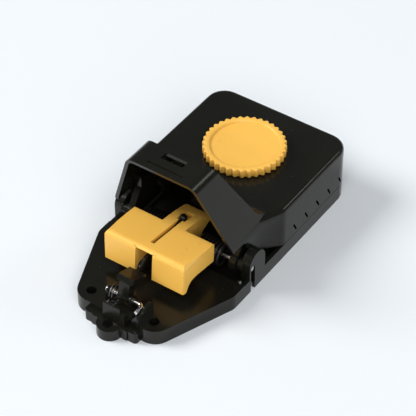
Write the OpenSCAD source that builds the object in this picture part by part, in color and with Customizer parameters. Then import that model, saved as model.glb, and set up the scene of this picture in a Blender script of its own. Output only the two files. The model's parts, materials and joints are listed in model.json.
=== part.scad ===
// Snap mouse trap with a swinging hood and bait box, shown set.
// X runs across the trap, Y from the front tongue to the back of the box, Z is up.
// Pieces are drawn with the hinge axle above y = 0, then moved so that the middle
// of the whole trap stands on the origin.

/* [Base] */
// Width across the rails and the hinge ears
body_w = 70; // [69:0.5:72]
// Length from the hinge axle to the back of the base
rear_len = 77.4; // [76:0.2:84]
// Length from the hinge axle to the front edge of the strike plate
plate_len = 50.2; // [50:0.1:50.8]
// Width of the strike plate along its front edge
plate_front_w = 41; // [40:1:44]
// Height of the strike plate's top face
plate_top = 7.4; // [7.2:0.1:7.5]
// Height of the rails that the box stands on
rail_h = 7; // [6.6:0.1:7]
// Diameter of the three fixing holes
screw_d = 4.4; // [4:0.1:5]
// Distance between the two fixing holes in the plate
screw_pitch = 32; // [30:1:34]

/* [Hinge] */
// Height of the hinge axle above the ground
axle_z = 12.4; // [12.2:0.1:12.5]
// Diameter of the hinge axle
axle_d = 2.8; // [2.4:0.1:3]
// Forward lean of the hood's rim when the trap is set, in degrees
rim_lean = 13.9; // [13.5:0.1:14.5]

/* [Shell] */
// Height of the box's top face
box_top = 27.4; // [27:0.2:29]
// Height of the hood's crown when the trap is set
crown_z = 59.8; // [59:0.2:61]
// Wall of the mouldings
wall = 1.6; // [1.4:0.1:1.8]
// Number of vent slits in each side of the box
vents = 5; // [3:1:5]

/* [Bait cap] */
// Diameter over the cap's knurls
cap_d = 36.8; // [35:0.2:37]
// Number of knurls round the cap
knurls = 36; // [30:2:40]
// Height of the cap above the box
cap_h = 4.3; // [4:0.1:5]

/* [Treadle] */
// Width of the treadle's crossbar
treadle_w = 40.4; // [38:0.2:41]
// Width of the treadle's shank
shank_w = 11.7; // [11:0.1:12]

/* [Springs] */
// Wire of the two main springs
wire_d = 1.3; // [1.1:0.1:1.3]
// Turns of each main spring
main_turns = 6; // [4:1:6]
// Wire of the small spring on the trip arm's pin
fine_d = 0.8; // [0.6:0.1:0.8]

/* [Hidden] */
$fn = 48;

black = [0.07, 0.07, 0.07];
orange = [0.98, 0.68, 0.22];
steel = [0.72, 0.72, 0.74];
spring_black = [0.12, 0.12, 0.12];

// Room left round a pin that turns, and a step that joins two solids
run_gap = 0.05;
eps = 0.01;
// Long enough to cut right through any moulding
through = 100;

// Base: half its width, its length and the outline's corners
side = body_w / 2;
tongue_tip = 59;
axle_y = (tongue_tip - rear_len) / 2;
plate_rear = -6.3;
shoulder_y = -14;
front_corner_r = 8;
rear_corner_r = 9;
floor_t = 1.6;
rail_t = 1.8;
rib_t = 1.2;
rib_low = 3;

// Fixing holes and the tongue in front of the plate
screw_y = -44.3;
boss_r = 4;
tongue_top = 5.4;
bar_half = 13.3;
bar_front = -53.4;
tab_y = -53.3;
hole_y = -54.5;

// Ears, each a hollow upright with a round top, and the boss inside it
ear_in = 30.7;
ear_y = 3.35;
ear_z = 13.5;
ear_r = 5.75;
ear_wall = 1.2;
ear_boss_x = 28.9;
ear_boss_r = 3.3;

// Keeper post and its shoulder, just in front of the plate
post_w = 8.5;
post_y = -52.6;
post_t = 2;
post_top = 13.8;
shoulder_w = 2.5;
shoulder_top = 11.6;

// Hinge
axle_r = axle_d / 2;
bore_r = axle_r + run_gap;
axle_inset = 0.4;

// Shell: the rim passes rim_off from the axle and the cheeks lean in by cheek_lean per mm
rim_off = axle_z - plate_top - 0.35;
cheek_lean = 0.393;
cheek_foot = 40.13;
cheek_bend_r = 12;
shell_foot = rail_h + 0.25;
facet_y = 24;
facet_front = [ear_in - 0.3, 8];
box_front_r = 6;
box_fillet = 2.2;
back_lean = 26.1;
back_top_y = -1.9;
back_fillet = 9;
band_edge_r = 5;
lug_x = 25.2;
lug_t = 3;
lug_r = 4.4;

// Bait well and cup
cap_y = 45.6;
well_r = 14.6;
cup_r = well_r - 0.4;
cup_t = 1.4;
cup_floor = 10.4;
flange_w = 1.6;
flange_low = box_top + 0.3;
flange_t = 0.9;

// Treadle
tread_half = treadle_w / 2;
shank_half = shank_w / 2;
channel = 4.3;
skin = 1.6;
hub_r = 3.3;

// Trip arm and its pin, which has a head at its left end and is bent forward at its right
pin_pos = [-42.5, 11.2];
pin_r = 1;
pin_fit = 0.02;
pin_left = -8.25;
pin_head = [1, 1.45];
pin_bend_x = 7.2;
pin_bend_r = 2.1;
pin_leg = 3.6;
arm_t = 1.4;
arm_hub = [2.7, 2.1];
ball_pos = [-0.5, 23.3];
ball_r = 1.75;

// Eyes that hold the pin and the wall that guards its bent end
eye_x = [-8.2, 3.2];
eye_t = 1.3;
eye_r = 2.3;
guard_x = 10.9;
guard_t = 1.4;

// Springs, with rings of the wire in one turn
rings = 8;
coil_r = 4.9;
main_pitch = wire_d + 0.5;
main_start = 8.6;
main_leg = 14;
fine_r = 3.4;
fine_pitch = fine_d + 0.5;
fine_start = 3.4;
fine_turns = 2;
fine_legs = [5.2, 5.4];

// ---------- helpers ----------

function unit(v) = v / norm(v);

// One corner of an outline, rounded with radius r in n steps
function corner(a, b, c, r, n) =
    r == 0 ? [b] :
    let (u = unit(a - b), v = unit(c - b),
         half = acos(u * v) / 2,
         centre = b + unit(u + v) * r / sin(half),
         start = b + u * r / tan(half) - centre,
         turn = (180 - 2 * half) * (u.x * v.y - u.y * v.x > 0 ? -1 : 1))
    [for (i = [0 : n]) let (a1 = turn * i / n)
        centre + [start.x * cos(a1) - start.y * sin(a1), start.x * sin(a1) + start.y * cos(a1)]];

// An outline from [x, y, radius] corners
function rounded(p, n = 5) =
    let (m = len(p), q = [for (c = p) [c.x, c.y]])
    [for (i = [0 : m - 1]) each corner(q[(i + m - 1) % m], q[i], q[(i + 1) % m], p[i].z, n)];

// The whole outline from the corners on the right of the middle plane
function both_sides(p) =
    concat(p, [for (i = [len(p) - 1 : -1 : 0]) [-p[i].x, p[i].y, p[i].z]]);

// Draws a y-z outline and runs it across x
module across(x0, x1) {
    translate([x0, 0, 0]) rotate([90, 0, 90]) linear_extrude(x1 - x0) children();
}

// Draws an x-z outline and runs it along y
module along(y0, y1) {
    translate([0, y1, 0]) rotate([90, 0, 0]) linear_extrude(y1 - y0) children();
}

module both() {
    children();
    mirror([1, 0, 0]) children();
}

module place() {
    translate([0, axle_y, 0]) children();
}

// A round bar across x, at pos in y and z
module rod(x0, x1, pos, r) {
    translate([x0, pos.x, pos.y]) rotate([0, 90, 0]) cylinder(r = r, h = x1 - x0);
}

// A wire of six sides swept along points; the rings never turn about the wire
module wire(path, d) {
    n = len(path);
    sides = 6;
    function tangent(i) = unit(path[min(i + 1, n - 1)] - path[max(i - 1, 0)]);
    points = [for (i = [0 : n - 1])
        let (t = tangent(i), b = unit(cross(t, [1, 0, 0])), m = cross(b, t))
        for (k = [0 : sides - 1])
            path[i] + (b * cos(360 * k / sides) + m * sin(360 * k / sides)) * d / 2];
    skin_faces = [for (i = [0 : n - 2], k = [0 : sides - 1])
        let (a = i * sides + k, b = i * sides + (k + 1) % sides)
        each [[a, b, b + sides], [a, b + sides, a + sides]]];
    ends = concat([for (k = [1 : sides - 2]) [0, k + 1, k]],
                  [for (k = [1 : sides - 2]) let (s = (n - 1) * sides) [s, s + k, s + k + 1]]);
    polyhedron(points = points, faces = concat(skin_faces, ends));
}

// A torsion spring wound about an axis along x: a leg, the coil and a second leg.
// The last tenth of each leg is its straight end.
function torsion(x0, pitch, turns, r, mid, legs, from, to) =
    let (steps = round(turns * rings + (to - from) / 360 * rings),
         knee = 0.9,
         coil = [for (i = [0 : steps])
             let (a = from + i * 360 / rings)
             [x0 + pitch * i / rings, mid.x - r * cos(a), mid.y + r * sin(a)]],
         leg_in = [0, -sin(from), -cos(from)] * legs[0],
         leg_out = [0, sin(to), cos(to)] * legs[1])
    concat([coil[0] + leg_in, coil[0] + leg_in * knee], coil,
           [coil[steps] + leg_out * knee, coil[steps] + leg_out]);

// Least gap between stretches of a wire that are half a turn or more apart
function least_gap(path, d) =
    min([for (i = [0 : len(path) - 1], j = [0 : len(path) - 1])
        if (j - i > rings / 2) norm(path[i] - path[j]) - d]);

// ---------- base ----------

// Outline of the base, drawn in by inset
module base_outline(inset = 0) {
    slant = 0.7;
    polygon(rounded(both_sides([
        [plate_front_w / 2 - inset * slant, inset - plate_len, front_corner_r - inset],
        [side - inset, shoulder_y, front_corner_r],
        [side - inset, rear_len - inset, rear_corner_r - inset]])));
}

// The part of the ground between two y values
module strip(y0, y1) {
    translate([-body_w, y0]) square([2 * body_w, y1 - y0]);
}

// Cross bar with a round tab in the middle
module tongue_outline() {
    bar_r = 1.5;
    bar_back = 2.5 - plate_len;
    web_front = [9, tab_y - 0.6];
    web_back = [5, tab_y + 2];
    polygon(rounded(both_sides([[bar_half, bar_front, bar_r], [bar_half, bar_back, 1]])));
    translate([0, tab_y]) circle(r = tongue_tip + tab_y);
    polygon([web_front, web_back, [-web_back.x, web_back.y], [-web_front.x, web_front.y]]);
}

module ear_profile(inset = 0) {
    r = ear_r - inset;
    low = inset > 0 ? -2 : 0;
    translate([ear_y, ear_z]) circle(r = r);
    translate([ear_y - r, low]) square([2 * r, ear_z - low]);
}

module front_pan() {
    difference() {
        linear_extrude(plate_top) intersection() {
            base_outline();
            strip(-plate_len, plate_rear);
        }
        translate([0, 0, -1]) linear_extrude(plate_top - floor_t + 1) intersection() {
            base_outline(rail_t);
            strip(-plate_len, plate_rear - rail_t);
        }
    }
}

module rear_tray() {
    difference() {
        linear_extrude(rail_h) intersection() {
            base_outline();
            strip(plate_rear - eps, rear_len);
        }
        translate([0, 0, floor_t]) linear_extrude(rail_h) intersection() {
            base_outline(rail_t);
            strip(plate_rear, rear_len);
        }
    }
}

// Ribs that stiffen the plate from below
module plate_ribs() {
    rib_x = 22;
    rib_y = [12 - plate_len, -8];
    cross_y = -27;
    cross_half = 24;
    rib_h = plate_top - floor_t + 0.7 - rib_low;
    for (x = [-rib_x, 0, rib_x])
        translate([x - rib_t / 2, rib_y[0], rib_low]) cube([rib_t, rib_y[1] - rib_y[0], rib_h]);
    translate([-cross_half, cross_y, rib_low]) cube([2 * cross_half, rib_t, rib_h]);
}

// Two eyes that hold the trip arm's pin: one beyond the spring, one beside the arm
module trip_bracket() {
    foot = [pin_pos.x - 2.9, pin_pos.x + 4.4];
    waist = pin_pos.x + 2.2;
    for (x = eye_x) across(x, x + eye_t) {
        polygon([[foot[0], plate_top - 1], [foot[1], plate_top - 1],
                 [waist, pin_pos.y], [pin_pos.x - eye_r, pin_pos.y]]);
        translate(pin_pos) circle(r = eye_r);
    }
}

// Upright wall that guards the bent end of the pin
module guard_wall() {
    rear = -39.6;
    step = -46.4;
    top = 13.8;
    front_top = 11;
    across(guard_x, guard_x + guard_t)
        polygon(rounded([[-plate_len, plate_top - 1, 0], [-plate_len, front_top, 0.6],
                         [step, front_top + 0.5, 2], [step + 1.6, top - 0.4, 1.4],
                         [rear - 1.6, top, 1.4], [rear, top - 1.4, 0.8], [rear, plate_top - 1, 0]], 3));
}

// Post that stops the hood, with a lower shoulder on its right
module keeper_post() {
    back = post_y + post_t;
    low = tongue_top - 1;
    across(-post_w / 2, post_w / 2)
        polygon(rounded([[post_y, low, 0], [back, low, 0], [back, post_top - 1.2, 0.3],
                         [back - 0.4, post_top, 0.4], [post_y + 0.8, post_top, 0.5]], 3));
    translate([post_w / 2 - eps, post_y + 0.2, low]) cube([shoulder_w, post_t - 0.2, shoulder_top - low]);
}

// Pads under the fixed legs of the main springs, and the tray's guide ribs
module tray_details() {
    pad = [3.2, 10, 5.2];
    guide = [1.6, 44, 2.4];
    both() translate([7.6, 8, floor_t - eps]) cube(pad);
    both() translate([18, 24, floor_t - eps]) cube(guide);
}

module screw_places() {
    for (s = [-1, 1]) translate([s * screw_pitch / 2, screw_y, 0]) children();
}

module base() {
    spring_slot = [3.95, 10.6];
    color(black) place() difference() {
        union() {
            front_pan();
            rear_tray();
            linear_extrude(tongue_top) tongue_outline();
            screw_places() cylinder(r = boss_r, h = plate_top - 1);
            plate_ribs();
            both() across(ear_in, side) ear_profile();
            both() rod(ear_boss_x, ear_in + ear_wall / 2, [0, axle_z], ear_boss_r);
            trip_bracket();
            guard_wall();
            keeper_post();
            tray_details();
        }
        // Hollow of each ear, open underneath, with the slot the axle is snapped in through
        both() across(ear_in + ear_wall, side - ear_wall) ear_profile(ear_wall);
        both() translate([ear_boss_x - 1, -bore_r, -1]) cube([side, 2 * bore_r, axle_z + 1]);
        rod(-through, through, [0, axle_z], bore_r);
        screw_places() translate([0, 0, -1]) cylinder(d = screw_d, h = plate_top + 2);
        translate([0, hole_y, -1]) cylinder(d = screw_d, h = tongue_top + 2);
        // Slot in the plate that the trip spring sits in
        translate([-6.85, -49, rib_low]) cube([spring_slot.x, spring_slot.y, plate_top]);
        // Notch in the plate's front edge under the bent end of the pin
        translate([7, -plate_len - 1, tongue_top]) cube([guard_x - 7, 7, plate_top]);
        rod(pin_left - 1, eye_x[1] + eye_t + 1, pin_pos, pin_r + pin_fit);
    }
}

module axle() {
    half = side - axle_inset;
    color(steel) place() rod(-half, half, [0, axle_z], axle_r);
}

// ---------- springs ----------

main_path = torsion(main_start, main_pitch, main_turns, coil_r, [0, axle_z], [main_leg, main_leg], -90, 90);
fine_path = torsion(fine_start, fine_pitch, fine_turns, fine_r, pin_pos, fine_legs, 180, 270);

module main_spring() {
    echo("main spring, least gap", least_gap(main_path, wire_d));
    wire(main_path, wire_d);
}

module main_spring_right() {
    color(spring_black) place() main_spring();
}

module main_spring_left() {
    color(spring_black) place() mirror([1, 0, 0]) main_spring();
}

module trip_spring() {
    echo("trip spring, least gap", least_gap(fine_path, fine_d));
    color(steel) place() mirror([1, 0, 0]) wire(fine_path, fine_d);
}

// ---------- shell ----------

// Cross-section of the hood, drawn in x and z: upright foot, leaning cheek, flat crown
module hood_section(inset = 0) {
    crown = crown_z - inset;
    half_foot = facet_front.x - inset;
    bend = (cheek_foot - facet_front.x) / cheek_lean - inset * cheek_lean / 2;
    half_top = half_foot - cheek_lean * (crown - bend);
    polygon(rounded(both_sides([[half_foot, 0, 0], [half_foot, bend, cheek_bend_r],
                                [half_top, crown, band_edge_r - inset]]), 6));
}

// Side view of the hood, drawn in y and z: rim in front, back wall behind
function rim_y(z) = -(rim_off + (z - axle_z) * sin(rim_lean)) / cos(rim_lean);
function back_y(z, inset) =
    back_top_y - inset / cos(back_lean) + (crown_z - z) * tan(back_lean);

module hood_profile(inset = 0) {
    top = crown_z - inset;
    roof = box_top - inset;
    low = inset > 0 ? 0 : shell_foot;
    front = inset > 0 ? 3 : 0;
    polygon(rounded([[rim_y(top) - front, top, 0], [rim_y(low) - front, low, 0],
                     [facet_y, low, 0], [facet_y, roof, 0],
                     [back_y(roof, inset), roof, back_fillet + inset],
                     [back_y(top, inset), top, 0]], 8));
}

module hood(inset = 0) {
    intersection() {
        along(-through, facet_y + 1) hood_section(inset);
        across(-through, through) hood_profile(inset);
    }
}

// Rounded post of the box; the hull of six makes the box with its filleted top edge
module box_post(x, y, r, h) {
    steps = 4;
    translate([x, y, 0]) rotate_extrude($fn = 32)
        polygon(concat([[0, 0], [r, 0]],
            [for (i = [0 : steps]) let (a = 90 * i / steps)
                [r - box_fillet + box_fillet * cos(a), h - box_fillet + box_fillet * sin(a)]],
            [[0, h]]));
}

module box_solid(inset = 0) {
    low = shell_foot - (inset > 0 ? 1 : 0);
    h = box_top - inset - low;
    rear_r = rear_corner_r - inset;
    front_r = box_front_r - inset;
    translate([0, 0, low]) hull() for (s = [-1, 1]) {
        box_post(s * (side - rear_corner_r), rear_len - rear_corner_r, rear_r, h);
        box_post(s * (side - box_front_r), facet_y + 1, front_r, h);
        box_post(s * (facet_front.x - box_front_r), facet_front.y + box_front_r, front_r, h);
    }
}

// Leaning slits low in the right side of the box
module vent_slits() {
    first = [32.4, 11.1];
    step = 9.1;
    lean = 29;
    slit = [1, 4.8];
    for (i = [0 : vents - 1])
        translate([side - wall - 1, first.x + i * step, first.y]) rotate([lean, 0, 0])
            translate([0, -slit.x / 2, -slit.y / 2]) cube([wall + 2, slit.x, slit.y]);
}

// Eye on the axle with its arm up to the box's roof
module hinge_lug() {
    front = 4.2;
    rear = 18;
    across(lug_x, lug_x + lug_t) {
        translate([0, axle_z]) circle(r = lug_r);
        polygon([[-lug_r * 0.3, axle_z + lug_r * 0.9], [front, 24], [front, 30], [rear - 2, 25],
                 [rear, box_top - 1], [rear, axle_z + 2], [2, axle_z - lug_r * 0.85]]);
    }
}

// Ribs that the moving legs of the main springs push up on, and the catch lip
// behind the treadle's tail
module shell_ribs() {
    leg_rib = [2.2, 6, 8.5];
    lip_half = 5.5;
    both() translate([18.6, 9.5, 18.3]) cube(leg_rib);
    across(-lip_half, lip_half) polygon([[12.6, 18.2], [14.2, 18.2], [16, 27], [12.9, 27]]);
}

// What the foot of each cheek leaves free for the hinge ear through the whole swing
module ear_clearance() {
    front = -30;
    top = 24.4;
    shelf = 15;
    both() across(lug_x + lug_t + 0.3, through) {
        polygon(rounded([[front, 0, 0], [4.4, 0, 0], [4.4, shelf, 2], [1.2, top, 4],
                         [-12, top, 0], [front, top, 0]]));
        polygon(rounded([[0, 0, 0], [facet_y, 0, 0], [facet_y - 2, shell_foot, 0],
                         [12.2, 11.4, 3], [4, shelf + 0.5, 0], [0, shelf + 0.5, 0]]));
    }
}

module shell() {
    collar_t = 1.4;
    collar_h = 3;
    mouth_rear = 12;
    mouth_top = 24.2;
    window = [10.8, 3.8];
    groove = [17.2, 0.8, 0.4];
    color(black) place() difference() {
        union() {
            difference() {
                union() {
                    box_solid();
                    hood();
                }
                box_solid(wall);
                hood(wall);
            }
            both() hinge_lug();
            shell_ribs();
            // Collar round the bait well
            translate([0, cap_y, box_top - wall - collar_h])
                cylinder(r = well_r + collar_t, h = collar_h + 0.5);
        }
        ear_clearance();
        // Between the lugs the shell is open in front of its back wall
        translate([-lug_x, -through, 0]) cube([2 * lug_x, through + mouth_rear, mouth_top]);
        rod(-through, through, [0, axle_z], bore_r);
        translate([0, cap_y, box_top - 8]) cylinder(r = well_r, h = 10);
        both() vent_slits();
        // Window and groove in the crown band
        translate([-window.x / 2, -8.3, crown_z - 4]) cube([window.x, window.y, 8]);
        translate([-groove.x / 2, -13.4, crown_z - groove.z]) cube([groove.x, groove.y, 2]);
    }
}

// ---------- bait cup and cap ----------

module bait_cup() {
    scent_slot = [2 * well_r, 2, 5];
    color(orange) place() translate([0, cap_y, 0]) difference() {
        union() {
            translate([0, 0, cup_floor]) cylinder(r = cup_r, h = flange_low + 0.1 - cup_floor);
            translate([0, 0, flange_low]) cylinder(r = cup_r + flange_w, h = flange_t);
        }
        translate([0, 0, cup_floor + cup_t]) cylinder(r = cup_r - cup_t, h = through);
        for (a = [0 : 45 : 135]) rotate([0, 0, a])
            translate([-scent_slot.x / 2, -scent_slot.y / 2, cup_floor + 3]) cube(scent_slot);
    }
}

// Round-topped knurls that meet in sharp grooves
module knurled_disc(h) {
    lobe = 0.75;
    steps = knurls * 6;
    linear_extrude(h) polygon([for (i = [0 : steps - 1])
        let (a = 360 * i / steps, r = cap_d / 2 - lobe + lobe * abs(cos(a * knurls / 2)))
        [r * cos(a), r * sin(a)]]);
}

module bait_cap() {
    rim_w = 3.5;
    dish = 0.5;
    plate_low = cap_h - 0.5;
    edge = cap_d / 2 - 0.8;
    plug_r = cup_r - cup_t - 0.3;
    plug_low = -3.4;
    color(orange) place() translate([0, cap_y, box_top]) difference() {
        union() {
            translate([0, 0, 0.3]) knurled_disc(plate_low - 0.3);
            translate([0, 0, plate_low]) rotate_extrude($fn = 96)
                polygon([[0, -0.2], [edge, -0.2], [edge, 0.1], [edge - 0.4, 0.5], [0, 0.5]]);
            // Plug that holds the cap in the cup
            translate([0, 0, plug_low]) cylinder(r = plug_r, h = 2 - plug_low);
        }
        translate([0, 0, cap_h - dish]) cylinder(r = cap_d / 2 - rim_w, h = 2, $fn = 96);
        // Seat for the cup's flange
        translate([0, 0, -1]) difference() {
            cylinder(r = cup_r + flange_w + 0.3, h = 2.5);
            translate([0, 0, -1]) cylinder(r = plug_r, h = 5);
        }
        translate([0, 0, plug_low - 1.6]) cylinder(r = plug_r - wall, h = 6.5);
    }
}

// ---------- treadle ----------

// Crossbar in side view, from its front lip over the top to its open underside
tread_front = -28.6;
tread_rear = -6.5;
tread_top = [27.3, 24.2];
tread_profile = [[-29.8, 12.6, 0.6], [tread_front, tread_top[0], 2.2], [tread_rear, tread_top[1], 1.4],
                 [-7.6, 14.6, 0.6], [-19.4, 16.4, 3], [-24.6, 16.7, 5], [-27.4, 12.4, 0.5]];

function top_z(y) =
    tread_top[1] + (tread_top[0] - tread_top[1]) * (tread_rear - y) / (tread_rear - tread_front);

module crossbar() {
    intersection() {
        across(-tread_half, tread_half) polygon(rounded(tread_profile));
        linear_extrude(through)
            polygon(rounded(both_sides([[tread_half, -30.5, 2.4], [tread_half, -6, 1.4]]), 4));
        along(-32, -4)
            polygon(rounded(both_sides([[tread_half, 10, 0], [tread_half, 27.6, 2.6]]), 4));
    }
}

module crossbar_hollow() {
    half = tread_half - skin;
    front = -27.2;
    rear = -8.4;
    across(-half, half)
        polygon([[front - 0.8, 10], [front, top_z(front) - skin],
                 [rear, top_z(rear) - skin], [rear - 0.6, 10]]);
}

// Walls of the channel that the trip arm lies in
module channel_walls() {
    both() across(channel, shank_half)
        polygon([[-29, 13.5], [-28.4, 26.6], [-7, 23.6], [-7, 14.8], [-19.4, 16.4], [-26, 16]]);
}

// Tail in side view, from the crossbar over the hub to its rounded end
shank_profile = [[-12, 24.9], [-6.4, 24.2], [2, 22.7], [9.4, 20.6], [11.2, 19],
                 [10.6, 16.4], [6, 14.6], [3.3, 11.6], [0, 9.1], [-3.3, 11.6], [-8.5, 14.8], [-12, 15]];

module shank() {
    across(-shank_half, shank_half) {
        polygon(shank_profile);
        translate([0, axle_z]) circle(r = hub_r);
    }
}

// Room inside the channel, from the gap in the front wall back to the hub
module channel_room() {
    gap_y = -26;
    hub_front = -4.2;
    low = 11;
    across(-channel, channel) {
        polygon([[-31, low], [-31, 26.2], [gap_y, 25.9], [gap_y, low]]);
        polygon([[gap_y - 0.05, low], [gap_y - 0.05, top_z(gap_y) - skin], [-8, top_z(-8) - skin],
                 [hub_front, 22.2], [hub_front, low]]);
    }
}

module treadle() {
    slot = [1.9, 21];
    pocket = [4.2, 7];
    color(orange) place() difference() {
        union() {
            difference() {
                crossbar();
                crossbar_hollow();
            }
            channel_walls();
            shank();
        }
        channel_room();
        // Slot in the top, ending in the pocket for the ball
        translate([-slot.x / 2, -22.9, 15.7]) cube([slot.x, slot.y, 20]);
        translate([-pocket.x / 2, -2.6, 15.9]) cube([pocket.x, pocket.y, 12]);
        rod(-through, through, [0, axle_z], bore_r);
    }
}

// ---------- trip arm ----------

// Head with its sloping nose, leg down to the pin, and the bar back to the ball
head_half = 4;
head_profile = [[-42.7, 19.9, 0.4], [-41.1, 21.5, 0.4], [-33, 18.8, 0.5],
                [-33.4, 16.4, 0.5], [-41.6, 18, 0.5]];
leg_half = 2.6;
leg_profile = [[-44.3, 11.4], [-42.3, 19], [-37, 18], [-40.6, 11]];
bar_profile = [[-36, 18.9, 0], [-31.5, 19.4, 2], [-28.3, 22.3, 3], [-17, 22.2, 6], [-6, 22.9, 6],
               [-0.5, 24, 0], [-0.4, 22.6, 0], [-8, 21, 6], [-17, 20.2, 6], [-26, 20.3, 3],
               [-30, 17, 3], [-36, 16.8, 0]];

module trip_arm() {
    color(black) place() difference() {
        union() {
            across(-head_half, head_half) polygon(rounded(head_profile, 3));
            across(-leg_half, leg_half) polygon(leg_profile);
            rod(-arm_hub[0], arm_hub[0], pin_pos, arm_hub[1]);
            across(-arm_t / 2, arm_t / 2) polygon(rounded(bar_profile, 4));
            translate([0, ball_pos.x, ball_pos.y]) rotate([0, 90, 0]) sphere(r = ball_r, $fn = 24);
        }
        rod(-through, through, pin_pos, pin_r + run_gap);
    }
}

module trip_pin() {
    color(steel) place() {
        rod(pin_left - pin_head[0], pin_left + eps, pin_pos, pin_head[1]);
        rod(pin_left, pin_bend_x, pin_pos, pin_r);
        translate([pin_bend_x, pin_pos.x - pin_bend_r, pin_pos.y]) {
            rotate_extrude(angle = 90) translate([pin_bend_r, 0]) circle(r = pin_r);
            translate([pin_bend_r, eps, 0]) rotate([90, 0, 0]) cylinder(r = pin_r, h = pin_leg);
        }
    }
}

base();
axle();
main_spring_left();
main_spring_right();
shell();
bait_cup();
bait_cap();
treadle();
trip_arm();
trip_pin();
trip_spring();
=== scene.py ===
import json
import math

import bmesh
import bpy
from bpy.props import FloatProperty, FloatVectorProperty, IntProperty, PointerProperty
from mathutils import Matrix, Vector


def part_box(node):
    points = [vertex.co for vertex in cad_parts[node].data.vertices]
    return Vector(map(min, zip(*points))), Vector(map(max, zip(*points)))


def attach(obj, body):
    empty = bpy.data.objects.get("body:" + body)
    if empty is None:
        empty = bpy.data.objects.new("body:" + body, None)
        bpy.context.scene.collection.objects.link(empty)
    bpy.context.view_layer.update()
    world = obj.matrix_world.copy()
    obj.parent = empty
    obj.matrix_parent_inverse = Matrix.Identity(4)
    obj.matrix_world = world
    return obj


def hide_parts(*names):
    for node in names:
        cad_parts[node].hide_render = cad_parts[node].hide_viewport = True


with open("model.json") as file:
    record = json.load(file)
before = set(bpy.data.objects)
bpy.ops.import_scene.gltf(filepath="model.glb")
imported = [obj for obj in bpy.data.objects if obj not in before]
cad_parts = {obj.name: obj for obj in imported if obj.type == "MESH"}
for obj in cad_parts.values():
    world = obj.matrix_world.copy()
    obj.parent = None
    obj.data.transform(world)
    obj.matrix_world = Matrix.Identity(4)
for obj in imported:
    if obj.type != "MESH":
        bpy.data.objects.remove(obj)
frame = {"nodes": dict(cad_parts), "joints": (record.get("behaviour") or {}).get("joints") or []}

bl_info = {
    "name": "Snap Mouse Trap",
    "version": (1, 0, 0),
    "blender": (4, 5, 0),
    "location": "View3D > Sidebar > Mouse Trap",
    "description": "Builds a set clamshell mouse trap on its CAD frame, piece by piece",
    "category": "Object",
}

MM = 0.001
TAU = math.tau
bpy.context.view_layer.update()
JOINT_AT = {joint["name"]: Vector(joint["pos_m"]) for joint in frame["joints"] if "pos_m" in joint}
HINGE = JOINT_AT["shell_swing"]
PIN = JOINT_AT["arm_trip"]
CAP = JOINT_AT["cap_twist"]
CAP_LOW, CAP_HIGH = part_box("bait_cap")
PLUG_LENGTH = 3.4 * MM
BOX_TOP = CAP_LOW.z + PLUG_LENGTH
PICTURE_PIXELS = 416
METAL_CREASE = math.radians(60)
CAP_CREASE = math.radians(50)


# ---------------------------------------------------------------- sizes and colours


class TrapMouldings(bpy.types.PropertyGroup):
    """Edges of the moulded pieces."""

    edge: FloatProperty(
        name="Edge Radius", description="Radius of the softened edges of the large mouldings",
        default=0.35 * MM, min=0.05 * MM, max=0.6 * MM, unit="LENGTH")
    thin_edge: FloatProperty(
        name="Thin Edge Radius", description="Radius of the softened edges of the small mouldings",
        default=0.2 * MM, min=0.05 * MM, max=0.4 * MM, unit="LENGTH")
    segments: IntProperty(
        name="Edge Segments", description="Segments across a softened edge",
        default=3, min=1, max=6)


class TrapHardware(bpy.types.PropertyGroup):
    """The axle's chamfer and the trip arm's bent pin."""

    chamfer: FloatProperty(
        name="Axle Chamfer", description="Rounding of the axle's ends",
        default=0.25 * MM, min=0.05 * MM, max=0.6 * MM, unit="LENGTH")
    pin_radius: FloatProperty(
        name="Pin Radius", description="Radius of the trip arm's pin",
        default=1.0 * MM, min=0.6 * MM, max=1.0 * MM, unit="LENGTH")
    head_radius: FloatProperty(
        name="Head Radius", description="Radius of the pin's head",
        default=1.45 * MM, min=1.0 * MM, max=1.45 * MM, unit="LENGTH")
    pin_left: FloatProperty(
        name="Pin Left End", description="Place of the pin's head from the middle plane",
        default=-9.25 * MM, unit="LENGTH")
    bend_start: FloatProperty(
        name="Bend Start", description="Place where the pin's bend starts from the middle plane",
        default=7.2 * MM, unit="LENGTH")
    bend_radius: FloatProperty(
        name="Bend Radius", description="Radius of the pin's bend at its middle line",
        default=2.1 * MM, unit="LENGTH")
    bent_leg: FloatProperty(
        name="Bent Leg", description="Length of the pin in front of its bend",
        default=3.6 * MM, unit="LENGTH")


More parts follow.
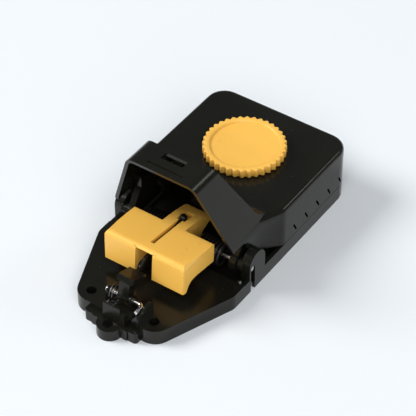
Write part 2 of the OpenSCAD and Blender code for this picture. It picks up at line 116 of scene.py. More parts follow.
class TrapSprings(bpy.types.PropertyGroup):
    """Wires, coils and legs of the springs."""

    main_wire: FloatProperty(
        name="Main Wire", description="Diameter of the main springs' wire",
        default=1.3 * MM, unit="LENGTH")
    main_radius: FloatProperty(
        name="Main Coil Radius", description="Radius of the main coils at the wire's middle",
        default=4.9 * MM, unit="LENGTH")
    main_pitch: FloatProperty(
        name="Main Pitch", description="Advance of the main coils for each turn",
        default=1.8 * MM, unit="LENGTH")
    main_start: FloatProperty(
        name="Main Start", description="Distance of the first main turn from the middle plane",
        default=8.6 * MM, unit="LENGTH")
    main_turns: IntProperty(
        name="Main Turns", description="Whole turns of each main spring", default=6, min=3, max=6)
    main_leg: FloatProperty(
        name="Main Leg", description="Length of both legs of a main spring",
        default=14 * MM, unit="LENGTH")
    trip_wire: FloatProperty(
        name="Trip Wire", description="Diameter of the trip spring's wire",
        default=0.8 * MM, unit="LENGTH")
    trip_radius: FloatProperty(
        name="Trip Coil Radius", description="Radius of the trip coil at the wire's middle",
        default=3.4 * MM, unit="LENGTH")
    trip_pitch: FloatProperty(
        name="Trip Pitch", description="Advance of the trip coil for each turn",
        default=1.3 * MM, unit="LENGTH")
    trip_start: FloatProperty(
        name="Trip Start", description="Distance of the first trip turn from the middle plane",
        default=3.4 * MM, unit="LENGTH")
    trip_turns: IntProperty(
        name="Trip Turns", description="Whole turns of the trip spring", default=2, min=1, max=2)
    trip_low_leg: FloatProperty(
        name="Trip Low Leg", description="Length of the trip spring's leg in the plate's slot",
        default=5.2 * MM, unit="LENGTH")
    trip_high_leg: FloatProperty(
        name="Trip High Leg", description="Length of the trip spring's leg under the arm",
        default=5.4 * MM, unit="LENGTH")


class TrapCap(bpy.types.PropertyGroup):
    """The twist cap."""

    diameter: FloatProperty(
        name="Diameter", description="Diameter over the knurls",
        default=CAP_HIGH.x - CAP_LOW.x, unit="LENGTH")
    knurls: IntProperty(
        name="Knurls", description="Number of knurls round the cap", default=36, min=24, max=48)
    knurl_depth: FloatProperty(
        name="Knurl Depth", description="Depth of the valleys between the knurls",
        default=1.05 * MM, min=0.2 * MM, max=1.2 * MM, unit="LENGTH")
    rim: FloatProperty(
        name="Rim", description="Width of the raised rim with its knurls",
        default=3.5 * MM, unit="LENGTH")
    dish: FloatProperty(
        name="Dish", description="Depth of the flat field inside the rim",
        default=1.0 * MM, unit="LENGTH")


class TrapColours(bpy.types.PropertyGroup):
    """Colours of the materials."""

    black: FloatVectorProperty(
        name="Black Plastic", description="Colour of the black mouldings",
        subtype="COLOR", size=3, default=(0.0078, 0.0076, 0.0058), min=0, max=1)
    orange: FloatVectorProperty(
        name="Orange Plastic", description="Colour of the orange mouldings",
        subtype="COLOR", size=3, default=(1.0, 0.555, 0.1), min=0, max=1)
    steel: FloatVectorProperty(
        name="Bright Steel", description="Colour of the axle and the pin, darker on the trip spring",
        subtype="COLOR", size=3, default=(0.72, 0.71, 0.69), min=0, max=1)
    wire: FloatVectorProperty(
        name="Black Wire", description="Colour of the main springs",
        subtype="COLOR", size=3, default=(0.03, 0.029, 0.027), min=0, max=1)


class TrapStage(bpy.types.PropertyGroup):
    """Floor and light."""

    floor: FloatVectorProperty(
        name="Floor", description="Colour of the floor",
        subtype="COLOR", size=3, default=(0.885, 0.922, 0.952), min=0, max=1)
    sky: FloatProperty(
        name="Sky", description="Strength of the even light all round", default=0.2, min=0)
    key: FloatProperty(
        name="Key Light", description="Power of the soft lamp on the left",
        default=131.0, min=0, unit="POWER")
    key_size: FloatProperty(
        name="Key Size", description="Diameter of the soft lamp on the left",
        default=2.2, min=0.05, unit="LENGTH")
    fill: FloatProperty(
        name="Fill Light", description="Power of the larger and softer lamp in front",
        default=122.0, min=0, unit="POWER")
    fill_size: FloatProperty(
        name="Fill Size", description="Diameter of the larger and softer lamp in front",
        default=4.5, min=0.05, unit="LENGTH")
    rim: FloatProperty(
        name="Rim Light", description="Power of the small lamp behind on the right",
        default=4.4, min=0, unit="POWER")
    rim_size: FloatProperty(
        name="Rim Size", description="Diameter of the small lamp behind on the right",
        default=0.7, min=0.05, unit="LENGTH")


# ---------------------------------------------------------------- node trees


def new_tree(name, kind, inputs, outputs):
    """A node group with (name, socket type, default) inputs and (name, type) outputs."""
    tree = bpy.data.node_groups.new(name, kind)
    for label, socket, default in inputs:
        item = tree.interface.new_socket(name=label, in_out="INPUT", socket_type=socket)
        if default is not None:
            item.default_value = default
    for label, socket in outputs:
        tree.interface.new_socket(name=label, in_out="OUTPUT", socket_type=socket)
    return tree


def add(tree, kind, values=None, links=None, **settings):
    """A node with its attributes set, and by name or number its input values and links."""
    node = tree.nodes.new(kind)
    for key, value in settings.items():
        setattr(node, key, value)
    for key, value in (values or {}).items():
        node.inputs[key].default_value = value
    for key, source in (links or {}).items():
        tree.links.new(source, node.inputs[key])
    return node


def sum_node(tree, operation, *terms):
    """The result of a sum on sockets and plain numbers."""
    node = add(tree, "ShaderNodeMath", operation=operation)
    for place, term in enumerate(terms):
        if isinstance(term, bpy.types.NodeSocket):
            tree.links.new(term, node.inputs[place])
        else:
            node.inputs[place].default_value = term
    return node.outputs["Value"]


def held_range(tree, source, low, high):
    """Maps low..high of a socket to 0..1, held at both ends."""
    return add(tree, "ShaderNodeMapRange", values={"From Min": low, "From Max": high},
               links={"Value": source}).outputs["Result"]


def object_coordinates(tree):
    """The place on the piece, in the piece's own coordinates."""
    return add(tree, "ShaderNodeTexCoord").outputs["Object"]


def moulded_group():
    """Moulded plastic: a soft cloud of tone, fine grain, and the gloss and normal of both."""
    tree = new_tree(
        "Moulded Surface", "ShaderNodeTree",
        [("Cloud Scale", "NodeSocketFloat", 55.0), ("Grain Size", "NodeSocketFloat", 0.5),
         ("Grain", "NodeSocketFloat", 0.1), ("Low Roughness", "NodeSocketFloat", 0.25),
         ("High Roughness", "NodeSocketFloat", 0.4)],
        [("Cloud", "NodeSocketFloat"), ("Roughness", "NodeSocketFloat"),
         ("Normal", "NodeSocketVector")])
    given = add(tree, "NodeGroupInput").outputs
    place = object_coordinates(tree)
    cloud = add(tree, "ShaderNodeTexNoise", values={"Detail": 3.0, "Roughness": 0.55},
                links={"Vector": place, "Scale": given["Cloud Scale"]})
    spread = held_range(tree, cloud.outputs["Fac"], 0.35, 0.65)
    rough = add(tree, "ShaderNodeMapRange", links={
        "Value": spread, "To Min": given["Low Roughness"], "To Max": given["High Roughness"]})
    grains_per_metre = sum_node(tree, "DIVIDE", 1 / MM, given["Grain Size"])
    grain = add(tree, "ShaderNodeTexNoise", values={"Detail": 2.0, "Roughness": 0.6},
                links={"Vector": place, "Scale": grains_per_metre})
    grain_height = 0.05 * MM
    bump = add(tree, "ShaderNodeBump", values={"Distance": grain_height},
               links={"Strength": given["Grain"], "Height": grain.outputs["Fac"]})
    add(tree, "NodeGroupOutput", links={
        "Cloud": spread, "Roughness": rough.outputs["Result"], "Normal": bump.outputs["Normal"]})
    return tree


def scuff_group():
    """Faint rubbed streaks in two directions, as a mask."""
    tree = new_tree(
        "Scuffs", "ShaderNodeTree",
        [("Scale", "NodeSocketFloat", 60.0), ("Amount", "NodeSocketFloat", 0.3)],
        [("Mask", "NodeSocketFloat")])
    given = add(tree, "NodeGroupInput").outputs
    place = object_coordinates(tree)
    faint, clear = 0.66, 0.74
    streaks = []
    for turn, stretch in ((0.4, (1.0, 11.0, 6.0)), (1.9, (9.0, 1.0, 5.0))):
        aim = add(tree, "ShaderNodeMapping", values={"Rotation": (0.3, 0.2, turn), "Scale": stretch},
                  links={"Vector": place})
        streak = add(tree, "ShaderNodeTexNoise", values={"Detail": 4.0, "Roughness": 0.7},
                     links={"Vector": aim.outputs["Vector"], "Scale": given["Scale"]})
        streaks.append(held_range(tree, streak.outputs["Fac"], faint, clear))
    both = sum_node(tree, "MAXIMUM", *streaks)
    add(tree, "NodeGroupOutput", links={"Mask": sum_node(tree, "MULTIPLY", both, given["Amount"])})
    return tree


def dust_group():
    """Sparse specks of dust, as a mask."""
    tree = new_tree(
        "Dust", "ShaderNodeTree",
        [("Scale", "NodeSocketFloat", 420.0), ("Amount", "NodeSocketFloat", 0.5)],
        [("Mask", "NodeSocketFloat")])
    given = add(tree, "NodeGroupInput").outputs
    specks = add(tree, "ShaderNodeTexVoronoi",
                 links={"Vector": object_coordinates(tree), "Scale": given["Scale"]})
    outer, inner, rarity = 0.16, 0.08, 0.93
    near = held_range(tree, specks.outputs["Distance"], outer, inner)
    shade = add(tree, "ShaderNodeSeparateColor", links={"Color": specks.outputs["Color"]})
    few = sum_node(tree, "GREATER_THAN", shade.outputs["Red"], rarity)
    mask = sum_node(tree, "MULTIPLY", sum_node(tree, "MULTIPLY", near, few), given["Amount"])
    add(tree, "NodeGroupOutput", links={"Mask": mask})
    return tree


def wound_wire_tree():
    """A torsion spring about an axis along x: a leg, the coil and a second leg."""
    number, whole = "NodeSocketFloat", "NodeSocketInt"
    tree = new_tree(
        "Wound Wire", "GeometryNodeTree",
        [("Geometry", "NodeSocketGeometry", None), ("Centre", "NodeSocketVector", None),
         ("Side", number, 1.0), ("Wire", number, 1.3 * MM), ("Radius", number, 4.9 * MM),
         ("Start", number, 8.6 * MM), ("Pitch", number, 1.8 * MM), ("First Angle", number, 0.0),
         ("Last Angle", number, TAU), ("First Leg", number, 14 * MM), ("Last Leg", number, 14 * MM),
         ("Rings per Turn", whole, 36), ("Sides", whole, 14),
         ("Material", "NodeSocketMaterial", None)],
        [("Geometry", "NodeSocketGeometry")])
    given = add(tree, "NodeGroupInput").outputs

    def calc(operation, *terms):
        return sum_node(tree, operation, *terms)

    # Two rings more at each end carry the leg, and the last of them its rounded end
    extra = 2
    chamfer_share, narrowed_by = 0.12, 0.3
    turn = calc("DIVIDE", TAU, given["Rings per Turn"])
    sweep = calc("SUBTRACT", given["Last Angle"], given["First Angle"])
    steps = calc("ROUND", calc("DIVIDE", sweep, turn))
    last = calc("ADD", steps, 2.0 * extra)
    index = add(tree, "GeometryNodeInputIndex").outputs["Index"]
    from_end = calc("SUBTRACT", last, index)
    step = calc("MINIMUM", calc("MAXIMUM", calc("SUBTRACT", index, float(extra)), 0.0), steps)
    angle = calc("ADD", given["First Angle"], calc("MULTIPLY", step, turn))
    advance = calc("MULTIPLY", given["Pitch"], calc("DIVIDE", step, given["Rings per Turn"]))
    sine, cosine = calc("SINE", angle), calc("COSINE", angle)
    chamfer = calc("MULTIPLY", given["Wire"], chamfer_share)

    def reach(count, leg):
        """Length of leg at the count-th ring from its end, and none on the coil."""
        on_leg = calc("LESS_THAN", count, float(extra))
        return calc("MULTIPLY", on_leg, calc("SUBTRACT", leg, calc("MULTIPLY", chamfer, count)))

    along = calc("SUBTRACT", reach(from_end, given["Last Leg"]), reach(index, given["First Leg"]))
    x = calc("MULTIPLY", given["Side"], calc("ADD", given["Start"], advance))
    y = calc("SUBTRACT", calc("MULTIPLY", sine, along), calc("MULTIPLY", cosine, given["Radius"]))
    z = calc("ADD", calc("MULTIPLY", cosine, along), calc("MULTIPLY", sine, given["Radius"]))
    ring_at = add(tree, "ShaderNodeCombineXYZ", links={"X": x, "Y": y, "Z": z})
    place = add(tree, "ShaderNodeVectorMath", operation="ADD",
                links={0: given["Centre"], 1: ring_at.outputs["Vector"]})
    line = add(tree, "GeometryNodeMeshLine", links={"Count": calc("ADD", last, 1.0)})
    curve = add(tree, "GeometryNodeMeshToCurve", links={"Mesh": line.outputs["Mesh"]})
    wound = add(tree, "GeometryNodeSetPosition",
                links={"Geometry": curve.outputs["Curve"], "Position": place.outputs["Vector"]})
    profile = add(tree, "GeometryNodeCurvePrimitiveCircle",
                  links={"Resolution": given["Sides"], "Radius": calc("DIVIDE", given["Wire"], 2.0)})
    at_end = calc("LESS_THAN", calc("MINIMUM", index, from_end), 0.5)
    scale = calc("SUBTRACT", 1.0, calc("MULTIPLY", at_end, narrowed_by))
    body = add(tree, "GeometryNodeCurveToMesh", values={"Fill Caps": True}, links={
        "Curve": wound.outputs["Geometry"], "Profile Curve": profile.outputs["Curve"], "Scale": scale})
    real = add(tree, "GeometryNodeRealizeInstances", links={"Geometry": body.outputs["Mesh"]})
    paint = add(tree, "GeometryNodeSetMaterial",
                links={"Geometry": real.outputs["Geometry"], "Material": given["Material"]})
    add(tree, "NodeGroupOutput", links={"Geometry": paint.outputs["Geometry"]})
    return tree


def knurl_ring_tree():
    """Copies one slice of the rim round the cap's axis and welds the copies."""
    tree = new_tree(
        "Knurl Ring", "GeometryNodeTree",
        [("Geometry", "NodeSocketGeometry", None), ("Count", "NodeSocketInt", 36),
         ("Centre", "NodeSocketVector", None), ("Weld", "NodeSocketFloat", 0.01 * MM),
         ("Material", "NodeSocketMaterial", None)],
        [("Geometry", "NodeSocketGeometry")])
    given = add(tree, "NodeGroupInput").outputs
    points = add(tree, "GeometryNodePoints", links={"Count": given["Count"]})
    away = add(tree, "ShaderNodeVectorMath", operation="SCALE", values={"Scale": -1.0},
               links={0: given["Centre"]})
    home = add(tree, "GeometryNodeTransform",
               links={"Geometry": given["Geometry"], "Translation": away.outputs["Vector"]})
    index = add(tree, "GeometryNodeInputIndex").outputs["Index"]
    angle = sum_node(tree, "MULTIPLY", sum_node(tree, "DIVIDE", index, given["Count"]), TAU)
    turn = add(tree, "ShaderNodeCombineXYZ", links={"Z": angle})
    copies = add(tree, "GeometryNodeInstanceOnPoints", links={
        "Points": points.outputs[0], "Instance": home.outputs["Geometry"],
        "Rotation": turn.outputs["Vector"]})
    real = add(tree, "GeometryNodeRealizeInstances",
               links={"Geometry": copies.outputs["Instances"]})
    weld = add(tree, "GeometryNodeMergeByDistance",
               links={"Geometry": real.outputs["Geometry"], "Distance": given["Weld"]})
    back = add(tree, "GeometryNodeTransform",
               links={"Geometry": weld.outputs["Geometry"], "Translation": given["Centre"]})
    paint = add(tree, "GeometryNodeSetMaterial",
                links={"Geometry": back.outputs["Geometry"], "Material": given["Material"]})
    add(tree, "NodeGroupOutput", links={"Geometry": paint.outputs["Geometry"]})
    return tree


# ---------------------------------------------------------------- materials


def new_material(name):
    """A material's tree and its Principled shader."""
    material = bpy.data.materials.new(name)
    material.use_nodes = True
    return material.node_tree, material.node_tree.nodes["Principled BSDF"]


def fill_group(tree, name, values):
    """One of the shared shader groups with its own values."""
    node = add(tree, "ShaderNodeGroup", node_tree=bpy.data.node_groups[name])
    for key, value in values.items():
        node.inputs[key].default_value = value
    return node


def colour_between(tree, mask, first, second):
    """A colour from first to second; both are sockets or plain colours."""
    mix = add(tree, "ShaderNodeMix", data_type="RGBA", links={"Factor": mask})
    ends = [socket for socket in mix.inputs if socket.type == "RGBA"]
    for socket, colour in zip(ends, (first, second)):
        if isinstance(colour, bpy.types.NodeSocket):
            tree.links.new(colour, socket)
        else:
            socket.default_value = (*colour, 1.0)
    return next(socket for socket in mix.outputs if socket.type == "RGBA")


def number_between(tree, mask, first, second):
    """A number from the socket first to the plain number second."""
    mix = add(tree, "ShaderNodeMix", data_type="FLOAT", values={"B": second},
              links={"Factor": mask, "A": first})
    return mix.outputs["Result"]


def set_values(skin, values):
    """Sets the shader's inputs by name."""
    for key, value in values.items():
        skin.inputs[key].default_value = value


def plastic(name, colour, spread, grain, rough, scuffs, dust):
    """Moulded plastic with a cloud of tone, fine grain, faint scuffs and specks of dust."""
    dust_colour, scuffed_roughness = (0.42, 0.41, 0.39), 0.5
    tree, skin = new_material(name)
    surface = fill_group(tree, "Moulded Surface", {
        "Grain": grain, "Low Roughness": rough[0], "High Roughness": rough[1]})
    marks = fill_group(tree, "Scuffs", {"Amount": scuffs})
    specks = fill_group(tree, "Dust", {"Amount": dust})
    base = colour_between(tree, surface.outputs["Cloud"],
                          colour * (1 - spread), colour * (1 + spread))
    dusty = colour_between(tree, specks.outputs["Mask"], base, dust_colour)
    gloss = number_between(tree, marks.outputs["Mask"], surface.outputs["Roughness"],
                           scuffed_roughness)
    tree.links.new(dusty, skin.inputs["Base Color"])
    tree.links.new(gloss, skin.inputs["Roughness"])
    tree.links.new(surface.outputs["Normal"], skin.inputs["Normal"])
    return skin


def metal(name, colour, rough, metallic):
    """Drawn wire or rod: fine lines along its length."""
    along, across, dark_share, line_depth = 40.0, 2400.0, 0.85, 0.02 * MM
    tree, skin = new_material(name)
    aim = add(tree, "ShaderNodeMapping", values={"Scale": (along, across, across)},
              links={"Vector": object_coordinates(tree)})
    lines = add(tree, "ShaderNodeTexNoise", values={"Scale": 1.0, "Detail": 3.0},
                links={"Vector": aim.outputs["Vector"]}).outputs["Fac"]
    gloss = add(tree, "ShaderNodeMapRange", values={"To Min": rough[0], "To Max": rough[1]},
                links={"Value": lines})
    bump = add(tree, "ShaderNodeBump", values={"Strength": 0.25, "Distance": line_depth},
               links={"Height": lines})
    tree.links.new(colour_between(tree, lines, colour * dark_share, colour), skin.inputs["Base Color"])
    tree.links.new(gloss.outputs["Result"], skin.inputs["Roughness"])
    tree.links.new(bump.outputs["Normal"], skin.inputs["Normal"])
    skin.inputs["Metallic"].default_value = metallic


def make_materials():
    """All materials, from the colours in the panel."""
    colours = bpy.context.scene.trap_colours
    for build in (moulded_group, scuff_group, dust_group):
        build()
    black = plastic("moulded_black", Vector(colours.black), spread=0.12, grain=0.12,
                    rough=(0.14, 0.22), scuffs=0.5, dust=0.05)
    set_values(black, {"Specular IOR Level": 0.3, "Specular Tint": (1.0, 0.985, 0.88, 1.0)})
    orange = plastic("moulded_orange", Vector(colours.orange), spread=0.02, grain=0.1,
                     rough=(0.26, 0.36), scuffs=0.2, dust=0.0)
    set_values(orange, {
        "Specular IOR Level": 0.5, "Subsurface Weight": 0.12,
        "Subsurface Radius": (1.0, 0.7, 0.4), "Subsurface Scale": 0.8 * MM})
    trip_wire_share = 0.22
    metal("bright_rod", Vector(colours.steel), rough=(0.16, 0.3), metallic=1.0)
    metal("grey_wire", Vector(colours.steel) * trip_wire_share, rough=(0.26, 0.4), metallic=1.0)
    metal("black_wire", Vector(colours.wire), rough=(0.25, 0.38), metallic=0.6)


# ---------------------------------------------------------------- mesh helpers


def place_piece(obj, body, nodes):
    """The piece rides on its body and stands for its nodes, which are hidden."""
    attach(obj, body)
    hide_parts(*nodes)


def new_object(name, mesh, material):
    """An object of a mesh, shaded smooth, with its material."""
    obj = bpy.data.objects.new(name, mesh)
    bpy.context.scene.collection.objects.link(obj)
    mesh.materials.clear()
    mesh.materials.append(bpy.data.materials[material])
    for face in mesh.polygons:
        face.use_smooth = True
        face.material_index = 0
    return obj


def mesh_of(data, name):
    """A mesh of the bmesh, with its faces turned outwards."""
    mesh = bpy.data.meshes.new(name)
    bmesh.ops.recalc_face_normals(data, faces=data.faces)
    data.to_mesh(mesh)
    data.free()
    return mesh


def softened_copy(node, name, material, body, width, segments):
    """A merged copy of a CAD node with flat faces joined and its edges rounded."""
    merge, most_corners = 0.002 * MM, 8
    flat_under, rounded_over = math.radians(1.0), math.radians(28.0)
    data = bmesh.new()
    data.from_mesh(frame["nodes"][node].data)
    bmesh.ops.remove_doubles(data, verts=data.verts, dist=merge)
    bmesh.ops.dissolve_degenerate(data, edges=data.edges, dist=merge)
    bmesh.ops.dissolve_limit(data, angle_limit=flat_under, verts=data.verts, edges=data.edges)
    # Faces with many corners and notches are split again, because they may not fill cleanly
    notched = [face for face in data.faces if len(face.verts) > most_corners]
    bmesh.ops.triangulate(data, faces=notched)
    mesh = bpy.data.meshes.new(name)
    data.to_mesh(mesh)
    data.free()
    obj = new_object(name, mesh, material)
    edge = obj.modifiers.new("Edge", "BEVEL")
    edge.width = width
    edge.segments = segments
    edge.limit_method = "ANGLE"
    edge.angle_limit = rounded_over
    edge.miter_outer = "MITER_ARC"
    even = obj.modifiers.new("Even", "WEIGHTED_NORMAL")
    even.keep_sharp = False
    place_piece(obj, body, (node,))
    return obj


def run_tree(obj, tree, inputs):
    """Runs a geometry tree on the object with the named inputs and keeps its result as the mesh."""
    modifier = obj.modifiers.new(tree.name, "NODES")
    modifier.node_group = tree
    for item in tree.interface.items_tree:
        if item.in_out == "INPUT" and item.name in inputs:
            modifier[item.identifier] = inputs[item.name]
    bpy.context.view_layer.update()
    made = obj.evaluated_get(bpy.context.evaluated_depsgraph_get())
    result = bpy.data.meshes.new_from_object(made)
    obj.modifiers.clear()
    return result


def swept_bar(data, path, radii, sides, aside):
    """A closed round bar through the points; aside is a direction that the path never takes."""
    rings = []
    for i, (point, radius) in enumerate(zip(path, radii)):
        tangent = (path[min(i + 1, len(path) - 1)] - path[max(i - 1, 0)]).normalized()
        across = tangent.cross(aside).normalized()
        other = across.cross(tangent)
        spokes = [across * math.cos(TAU * k / sides) + other * math.sin(TAU * k / sides)
                  for k in range(sides)]
        rings.append([data.verts.new(point + spoke * radius) for spoke in spokes])
    for a, b in zip(rings, rings[1:]):
        for k in range(sides):
            data.faces.new((a[k], a[(k + 1) % sides], b[(k + 1) % sides], b[k]))
    data.faces.new(rings[0])
    data.faces.new(rings[-1])


def lathe(data, profile, centre, steps):
    """Turns (radius, height) points about a vertical axis; a radius of 0 closes on the axis."""
    rings = []
    for radius, height in profile:
        if radius == 0:
            rings.append([data.verts.new((centre.x, centre.y, height))] * steps)
        else:
            rings.append([
                data.verts.new((centre.x + radius * math.cos(TAU * k / steps),
                                centre.y + radius * math.sin(TAU * k / steps), height))
                for k in range(steps)])
    for a, b in zip(rings, rings[1:]):
        for k in range(steps):
            j = (k + 1) % steps
            corners = dict.fromkeys((a[k], a[j], b[j], b[k]))
            data.faces.new(tuple(corners))


# ---------------------------------------------------------------- operators


class TRAP_OT_mouldings(bpy.types.Operator):
    """Base, shell, treadle, trip arm and bait cup with softened edges"""

    bl_idname = "trap.mouldings"
    bl_label = "Mouldings"

    def execute(self, context):
        sizes = context.scene.trap_mouldings
        wide, thin, segments = sizes.edge, sizes.thin_edge, sizes.segments
        for node, body, colour, width in (
                ("base", "base", "black", wide), ("shell", "shell", "black", wide),
                ("treadle", "treadle", "orange", wide), ("trip_arm", "arm", "black", thin),
                ("bait_cup", "cup", "orange", thin)):
            softened_copy(node, node + "_moulding", "moulded_" + colour, body,
                          width, segments)
        return {"FINISHED"}


class TRAP_OT_hardware(bpy.types.Operator):
    """Hinge axle, and the trip arm's pin with its head and its bent end"""

    bl_idname = "trap.hardware"
    bl_label = "Axle and Pin"

    def execute(self, context):
        sizes = context.scene.trap_hardware
        chamfer_segments, bend_steps, sides = 3, 12, 24
        softened_copy("axle", "hinge_axle", "bright_rod", "base",
                      sizes.chamfer, chamfer_segments)
        r, head, left = sizes.pin_radius, sizes.head_radius, sizes.pin_left
        # Distance from the head's end and radius there
        turned = [(0.0, 0.8 * r), (0.08 * MM, 1.15 * r), (0.3 * MM, head), (0.85 * MM, head),
                  (0.98 * MM, 0.96 * head), (1.0 * MM, r)]
        path = [Vector((left + x, PIN.y, PIN.z)) for x, _ in turned]
        radii = [radius for _, radius in turned]
        for i in range(bend_steps + 1):
            angle = math.pi / 2 * i / bend_steps
            path.append(Vector((sizes.bend_start + sizes.bend_radius * math.sin(angle),
                                PIN.y - sizes.bend_radius * (1 - math.cos(angle)), PIN.z)))
            radii.append(r)
        tip = path[-1] + Vector((0.0, -sizes.bent_leg, 0.0))
        for back, radius in ((0.4 * r, r), (0.12 * r, 0.88 * r), (0.0, 0.6 * r)):
            path.append(tip + Vector((0.0, back, 0.0)))
            radii.append(radius)
        data = bmesh.new()
        swept_bar(data, path, radii, sides, Vector((0.0, 0.0, 1.0)))
        pin = new_object("trip_arm_pin", mesh_of(data, "trip_arm_pin"), "bright_rod")
        pin.data.set_sharp_from_angle(angle=METAL_CREASE)
        place_piece(pin, "base", ("trip_pin",))
        return {"FINISHED"}


class TRAP_OT_springs(bpy.types.Operator):
    """Two main torsion springs on the axle and a small one on the trip arm's pin"""

    bl_idname = "trap.springs"
    bl_label = "Springs"

    def execute(self, context):
        sizes = context.scene.trap_springs
        tree = wound_wire_tree()
        main = {
            "Centre": HINGE, "Wire": sizes.main_wire, "Radius": sizes.main_radius,
            "Start": sizes.main_start, "Pitch": sizes.main_pitch, "First Leg": sizes.main_leg,
            "Last Leg": sizes.main_leg, "First Angle": -math.pi / 2,
            "Last Angle": math.pi / 2 + TAU * sizes.main_turns, "Sides": 14}
        for side, word in ((-1.0, "left"), (1.0, "right")):
            self.wind(tree, "main_torsion_spring_" + word, "black_wire",
                      "main_spring_" + word, "black_steel", main | {"Side": side})
        trip = {
            "Centre": PIN, "Wire": sizes.trip_wire, "Radius": sizes.trip_radius,
            "Start": sizes.trip_start, "Pitch": sizes.trip_pitch, "First Leg": sizes.trip_low_leg,
            "Last Leg": sizes.trip_high_leg, "First Angle": math.pi,
            "Last Angle": math.pi * 3 / 2 + TAU * sizes.trip_turns, "Sides": 12, "Side": -1.0}
        self.wind(tree, "trip_torsion_spring", "grey_wire", "trip_spring", "bright_steel", trip)
        return {"FINISHED"}

    def wind(self, tree, name, material, node, slot, inputs):
        """One spring made by the tree, in the place of its CAD node."""
        seed = new_object(name, bpy.data.meshes.new(name), material)
        finish = {"Material": bpy.data.materials[material]}
        wound = run_tree(seed, tree, inputs | finish)
        bpy.data.objects.remove(seed)
        data = bmesh.new()
        data.from_mesh(wound)
        spring = new_object(name, mesh_of(data, name), material)
        spring.data.set_sharp_from_angle(angle=METAL_CREASE)
        place_piece(spring, "base", (node,))


class TRAP_OT_cap(bpy.types.Operator):
    """Knurled twist cap with its raised rim, flat field and plug"""

    bl_idname = "trap.cap"
    bl_label = "Twist Cap"

    def execute(self, context):
        sizes = context.scene.trap_cap
        top = CAP_HIGH.z
        gap_over_box = 0.3 * MM
        foot = BOX_TOP + gap_over_box
        radius = sizes.diameter / 2
        field = radius - sizes.rim
        slice_mesh = self.knurl_slice(sizes, radius, field, foot, top)
        cap = new_object("bait_cap_knurled", slice_mesh, "moulded_orange")
        whole = run_tree(cap, knurl_ring_tree(), {
            "Count": sizes.knurls, "Centre": Vector((CAP.x, CAP.y, 0.0)),
            "Material": bpy.data.materials["moulded_orange"]})
        bpy.data.objects.remove(cap)
        data = bmesh.new()
        data.from_mesh(whole)
        self.field_and_plug(data, field, foot, top - sizes.dish)
        cap = new_object("bait_cap_knurled", mesh_of(data, "bait_cap_knurled"), "moulded_orange")
        cap.data.set_sharp_from_angle(angle=CAP_CREASE)
        place_piece(cap, "cap", ("bait_cap",))
        return {"FINISHED"}

    def knurl_slice(self, sizes, radius, field, foot, top):
        """One knurl's share of the rim, from the middle of a valley to the next."""
        steps = 10
        half = math.pi / sizes.knurls
        data = bmesh.new()
        loops = []
        for i in range(steps + 1):
            angle = -half + 2 * half * i / steps
            outer = radius - sizes.knurl_depth * (1 - math.cos(angle * sizes.knurls)) / 2
            # Radius and height of the corners: underside, outside, crown and inner slope
            section = [
                (field + 0.05 * MM, foot + 0.3 * MM), (outer - 1.2 * MM, foot),
                (outer - 0.35 * MM, foot), (outer, foot + 0.3 * MM),
                (outer, top - 0.5 * MM), (outer - 0.08 * MM, top - 0.22 * MM),
                (outer - 0.25 * MM, top - 0.05 * MM), (outer - 0.5 * MM, top),
                (field + 0.65 * MM, top), (field + 0.4 * MM, top - 0.12 * MM),
                (field + 0.05 * MM, top - sizes.dish + 0.15 * MM), (field, top - sizes.dish),
                (field - 0.3 * MM, top - sizes.dish - 0.6 * MM)]
            loops.append([
                data.verts.new((CAP.x + r * math.sin(angle), CAP.y - r * math.cos(angle), z))
                for r, z in section])
        for a, b in zip(loops, loops[1:]):
            for k in range(len(a)):
                j = (k + 1) % len(a)
                data.faces.new((a[k], a[j], b[j], b[k]))
        return mesh_of(data, "knurl_slice")

    def field_and_plug(self, data, field, foot, low):
        """The flat field and, below it, the hollow plug that holds the cap in the cup."""
        plug, bore, skirt, steps = 12.45 * MM, 10.9 * MM, 1.2 * MM, 96
        end = CAP_LOW.z
        seat = foot + skirt
        # Radius and height of the corners, from the field's middle out, down and back
        lathe(data, [
            (0, low), (field - 1 * MM, low), (field - 0.2 * MM, low + 0.05 * MM),
            (field + 0.4 * MM, low + 0.1 * MM), (field + 0.4 * MM, seat + 0.3 * MM), (plug, seat),
            (plug, end + 0.2 * MM), (plug - 0.15 * MM, end), (bore + 0.2 * MM, end),
            (bore, end + 0.2 * MM), (bore, seat), (0, seat)], CAP, steps)


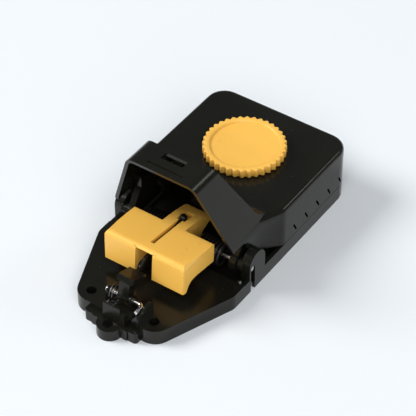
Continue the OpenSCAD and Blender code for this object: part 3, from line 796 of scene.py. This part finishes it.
class TRAP_OT_stage(bpy.types.Operator):
    """Pale floor, soft light and the camera"""

    bl_idname = "trap.stage"
    bl_label = "Stage"

    def execute(self, context):
        stage = context.scene.trap_stage
        floor_reach, floor_drop, sky_colour = 4.0, 0.1 * MM, (0.92, 0.965, 1.0, 1.0)
        data = bmesh.new()
        bmesh.ops.create_grid(data, x_segments=1, y_segments=1, size=floor_reach)
        _, skin = new_material("floor")
        set_values(skin, {
            "Base Color": (*stage.floor, 1.0), "Roughness": 0.6, "Specular IOR Level": 0.1})
        floor = new_object("floor", mesh_of(data, "floor"), "floor")
        floor.location.z = -floor_drop
        world = bpy.data.worlds.new("studio")
        context.scene.world = world
        world.use_nodes = True
        sky = world.node_tree.nodes["Background"]
        set_values(sky, {"Color": sky_colour, "Strength": stage.sky})
        for name, place, size, power in (
                ("key", (-3.0, -1.4, 2.7), stage.key_size, stage.key),
                ("fill", (2.0, -2.2, 3.0), stage.fill_size, stage.fill),
                ("rim", (1.2, 1.5, 1.6), stage.rim_size, stage.rim)):
            self.lamp(name, Vector(place), size, power)
        self.camera(context)
        context.scene.view_settings.view_transform = "Standard"
        return {"FINISHED"}

    def lamp(self, name, place, size, power):
        """A round soft lamp that faces the origin."""
        data = bpy.data.lights.new(name, "AREA")
        data.shape = "DISK"
        data.size = size
        data.energy = power
        lamp = bpy.data.objects.new(name, data)
        lamp.location = place
        lamp.rotation_euler = (-place).to_track_quat("-Z", "Y").to_euler()
        bpy.context.scene.collection.objects.link(lamp)

    def camera(self, context):
        """A long lens, above and to the right of the front tongue."""
        azimuth, elevation, roll = (math.radians(turn) for turn in (34.655, 42.908, -0.1008))
        aim = Vector((0.0, HINGE.y + 0.45 * MM, 0.4 * MM))
        aim_from_camera = Vector((-9.7536, -20.2868, -811.5777)) * MM
        sensor_mm, focal_pixels, nearest = 36.0, 1893.664, 0.01
        back = Vector((math.sin(azimuth) * math.cos(elevation),
                       -math.cos(azimuth) * math.cos(elevation), math.sin(elevation)))
        right = Vector((math.cos(azimuth), math.sin(azimuth), 0.0))
        up = back.cross(right)
        right, up = (right * math.cos(roll) + up * math.sin(roll),
                     up * math.cos(roll) - right * math.sin(roll))
        turn = Matrix((right, up, back)).transposed()
        place = aim - turn @ aim_from_camera
        data = bpy.data.cameras.new("camera")
        data.sensor_width = sensor_mm
        data.lens = sensor_mm * focal_pixels / PICTURE_PIXELS
        data.clip_start = nearest
        camera = bpy.data.objects.new("camera", data)
        camera.matrix_world = Matrix.Translation(place) @ turn.to_4x4()
        context.scene.collection.objects.link(camera)
        context.scene.camera = camera


class TRAP_PT_panel(bpy.types.Panel):
    """Lists the sizes, the colours and the pieces"""

    bl_idname = "TRAP_PT_panel"
    bl_label = "Mouse Trap"
    bl_space_type = "VIEW_3D"
    bl_region_type = "UI"
    bl_category = "Mouse Trap"

    def draw(self, context):
        for group_name in GROUPS:
            box = self.layout.box()
            settings = getattr(context.scene, group_name)
            for name in settings.bl_rna.properties.keys():
                if name not in ("rna_type", "name"):
                    box.prop(settings, name)
        for operator in OPERATORS:
            self.layout.operator(operator.bl_idname)


GROUPS = {
    "trap_mouldings": TrapMouldings, "trap_hardware": TrapHardware, "trap_springs": TrapSprings,
    "trap_cap": TrapCap, "trap_colours": TrapColours, "trap_stage": TrapStage}
OPERATORS = (TRAP_OT_mouldings, TRAP_OT_hardware, TRAP_OT_springs, TRAP_OT_cap, TRAP_OT_stage)


def register():
    for name, group_class in GROUPS.items():
        bpy.utils.register_class(group_class)
        setattr(bpy.types.Scene, name, PointerProperty(type=group_class))
    for operator in OPERATORS:
        bpy.utils.register_class(operator)
    bpy.utils.register_class(TRAP_PT_panel)


def unregister():
    bpy.utils.unregister_class(TRAP_PT_panel)
    for operator in reversed(OPERATORS):
        bpy.utils.unregister_class(operator)
    for name, group_class in reversed(GROUPS.items()):
        delattr(bpy.types.Scene, name)
        bpy.utils.unregister_class(group_class)


def main():
    register()
    make_materials()
    bpy.ops.trap.mouldings()
    bpy.ops.trap.hardware()
    bpy.ops.trap.springs()
    bpy.ops.trap.cap()
    bpy.ops.trap.stage()
    bpy.context.view_layer.update()
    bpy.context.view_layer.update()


if __name__ == "__main__":
    main()
